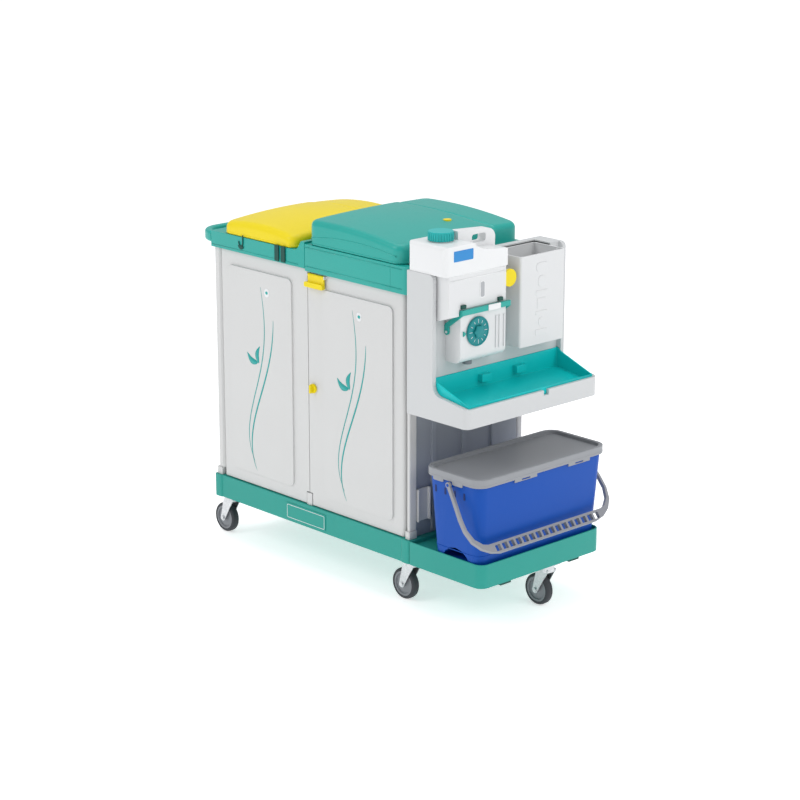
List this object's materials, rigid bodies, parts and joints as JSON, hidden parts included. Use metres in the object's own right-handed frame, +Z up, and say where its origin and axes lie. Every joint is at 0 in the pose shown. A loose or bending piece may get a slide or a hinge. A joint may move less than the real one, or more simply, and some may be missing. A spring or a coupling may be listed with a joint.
{
  "type": "housekeeping cart",
  "caption": "Housekeeping cart: two-door cabinet on swivel casters, push handle, two hinged lids, dosing console with tank and tray, and a lidded bucket on a low platform.",
  "frame": {"origin": "middle of the cart's footprint on the floor, under the bounding box's centre", "axes": "+X along the cart towards the bucket end, -Y the door side, +Z up"},
  "size_m": [1.3604, 0.62, 1.1908],
  "materials": {
    "teal_plastic": "satin moulded plastic with a fine grain",
    "warm_grey_plastic": "light grey satin panel",
    "panel_grey": "mid grey ribbed panel",
    "white_plastic": "white semi-gloss moulding",
    "pale_grey_plastic": "pale grey satin moulding",
    "tray_teal": "saturated teal semi-gloss",
    "yellow_plastic": "yellow semi-gloss moulding",
    "blue_plastic": "blue semi-gloss moulding",
    "lid_grey_plastic": "mid grey satin moulding",
    "bail_grey_plastic": "warm grey satin moulding",
    "dark_green_plastic": "dark green matt plastic",
    "label_blue": "blue film label",
    "zinc_steel": "bright zinc plated pressed steel",
    "hub_plastic": "grey nylon",
    "tyre_rubber": "dark grey non-marking rubber"
  },
  "bodies": {
    "chassis": {"base_frame": "teal_plastic", "platform": "teal_plastic", "platform_tabs": "dark_green_plastic", "base_badge": "teal_plastic", "base_blocks": "warm_grey_plastic", "corner_posts": "warm_grey_plastic", "end_panel_left": "warm_grey_plastic", "end_panel_right": "panel_grey", "panel_bracket": "warm_grey_plastic", "back_panels": "warm_grey_plastic", "centre_partition": "warm_grey_plastic", "shelves": "warm_grey_plastic", "door_pins": "zinc_steel", "handle_rim": "teal_plastic", "rim_clips": "dark_green_plastic", "rim_right": "teal_plastic", "rim_corners": "teal_plastic", "top_tub": "white_plastic", "lid_hinges": "zinc_steel", "console_shell": "white_plastic", "console_brackets": "zinc_steel", "tray": "tray_teal", "holder_box": "pale_grey_plastic", "dosing_housing": "white_plastic", "dial_box": "white_plastic", "outlet_spout": "hub_plastic", "pointer": "teal_plastic", "lever_stops": "dark_green_plastic", "caster_mounts": "zinc_steel"},
    "door_left": {"door_left": "warm_grey_plastic"},
    "door_right": {"door_right": "warm_grey_plastic"},
    "latch": {"latch": "yellow_plastic"},
    "lock": {"lock_knob": "yellow_plastic"},
    "lid_yellow": {"lid_yellow": "yellow_plastic"},
    "lid_green": {"lid_green": "teal_plastic", "lid_button": "yellow_plastic"},
    "tank": {"tank": "white_plastic", "tank_label": "label_blue"},
    "tank_cap": {"tank_cap": "teal_plastic"},
    "dial": {"dial": "teal_plastic"},
    "lever": {"lever": "teal_plastic"},
    "valve": {"valve_knob": "yellow_plastic"},
    "bucket": {"bucket": "blue_plastic"},
    "bucket_lid": {"bucket_lid": "lid_grey_plastic"},
    "bail": {"bail": "bail_grey_plastic"},
    "swivel_1": {"fork_1": "zinc_steel"},
    "wheel_1": {"hub_1": "hub_plastic", "tyre_1": "tyre_rubber"},
    "swivel_2": {"fork_2": "zinc_steel"},
    "wheel_2": {"hub_2": "hub_plastic", "tyre_2": "tyre_rubber"},
    "swivel_3": {"fork_3": "zinc_steel"},
    "wheel_3": {"hub_3": "hub_plastic", "tyre_3": "tyre_rubber"},
    "swivel_4": {"fork_4": "zinc_steel"},
    "wheel_4": {"hub_4": "hub_plastic", "tyre_4": "tyre_rubber"},
    "swivel_5": {"fork_5": "zinc_steel"},
    "wheel_5": {"hub_5": "hub_plastic", "tyre_5": "tyre_rubber"}
  },
  "joints": [
    {"name": "door_left_hinge", "type": "hinge", "parent": "chassis", "child": "door_left", "pos_m": [-0.55322, -0.241, 0.6065], "axis": [0, 0, -1], "range_deg": [0, 105]},
    {"name": "door_right_hinge", "type": "hinge", "parent": "chassis", "child": "door_right", "pos_m": [0.29079, -0.241, 0.603], "axis": [0, 0, 1], "range_deg": [0, 105]},
    {"name": "latch_flip", "type": "hinge", "parent": "door_right", "child": "latch", "pos_m": [-0.08622, -0.258, 0.977], "axis": [-1, 0, 0], "range_deg": [0, 80]},
    {"name": "lock_turn", "type": "hinge", "parent": "door_right", "child": "lock", "pos_m": [-0.11022, -0.252, 0.611], "axis": [0, -1, 0], "range_deg": [0, 90]},
    {"name": "lid_yellow_hinge", "type": "hinge", "parent": "chassis", "child": "lid_yellow", "pos_m": [-0.36672, 0.257, 1.0545], "axis": [-1, 0, 0], "range_deg": [0, 95]},
    {"name": "lid_green_hinge", "type": "hinge", "parent": "chassis", "child": "lid_green", "pos_m": [0.08428, 0.257, 1.0805], "axis": [-1, 0, 0], "range_deg": [0, 95]},
    {"name": "tank_lift", "type": "slide", "parent": "chassis", "child": "tank", "axis": [0, 0, 1], "range_m": [0, 0.15]},
    {"name": "tank_cap_turn", "type": "hinge", "parent": "tank", "child": "tank_cap", "pos_m": [0.41879, -0.215, 1.1708], "axis": [0, 0, 1], "continuous": true},
    {"name": "dial_turn", "type": "hinge", "parent": "chassis", "child": "dial", "pos_m": [0.50478, -0.145, 0.8915], "axis": [1, 0, 0], "range_deg": [-150, 150]},
    {"name": "lever_pull", "type": "hinge", "parent": "chassis", "child": "lever", "pos_m": [0.44928, -0.145, 0.8915], "axis": [0, 1, 0], "range_deg": [0, 20], "stiffness_Nm_per_rad": 0.3, "springref_deg": -20.05},
    {"name": "valve_turn", "type": "hinge", "parent": "chassis", "child": "valve", "pos_m": [0.45478, 0.0025, 1.0275], "axis": [1, 0, 0], "range_deg": [0, 90]},
    {"name": "bucket_lift", "type": "slide", "parent": "chassis", "child": "bucket", "axis": [0, 0, 1], "range_m": [0, 0.07]},
    {"name": "bucket_lid_lift", "type": "slide", "parent": "bucket", "child": "bucket_lid", "axis": [0, 0, 1], "range_m": [0, 0.06]},
    {"name": "bail_swing", "type": "hinge", "parent": "bucket", "child": "bail", "pos_m": [0.52978, 0, 0.4508], "axis": [0, -1, 0], "range_deg": [0, 100]},
    {"name": "swivel_1_turn", "type": "hinge", "parent": "chassis", "child": "swivel_1", "pos_m": [-0.58322, -0.205, 0.129], "axis": [0, 0, 1], "continuous": true},
    {"name": "wheel_1_spin", "type": "hinge", "parent": "swivel_1", "child": "wheel_1", "pos_m": [-0.61622, -0.205, 0.05], "axis": [0, 1, 0], "continuous": true},
    {"name": "swivel_2_turn", "type": "hinge", "parent": "chassis", "child": "swivel_2", "pos_m": [-0.58322, 0.205, 0.129], "axis": [0, 0, 1], "continuous": true},
    {"name": "wheel_2_spin", "type": "hinge", "parent": "swivel_2", "child": "wheel_2", "pos_m": [-0.61622, 0.205, 0.05], "axis": [0, 1, 0], "continuous": true},
    {"name": "swivel_3_turn", "type": "hinge", "parent": "chassis", "child": "swivel_3", "pos_m": [0.29379, -0.205, 0.129], "axis": [0, 0, 1], "continuous": true},
    {"name": "wheel_3_spin", "type": "hinge", "parent": "swivel_3", "child": "wheel_3", "pos_m": [0.26078, -0.205, 0.05], "axis": [0, 1, 0], "continuous": true},
    {"name": "swivel_4_turn", "type": "hinge", "parent": "chassis", "child": "swivel_4", "pos_m": [0.29379, 0.205, 0.129], "axis": [0, 0, 1], "continuous": true},
    {"name": "wheel_4_spin", "type": "hinge", "parent": "swivel_4", "child": "wheel_4", "pos_m": [0.26078, 0.205, 0.05], "axis": [0, 1, 0], "continuous": true},
    {"name": "swivel_5_turn", "type": "hinge", "parent": "chassis", "child": "swivel_5", "pos_m": [0.61178, 0.06, 0.129], "axis": [0, 0, 1], "continuous": true},
    {"name": "wheel_5_spin", "type": "hinge", "parent": "swivel_5", "child": "wheel_5", "pos_m": [0.57878, 0.06, 0.05], "axis": [0, 1, 0], "continuous": true}
  ]
}
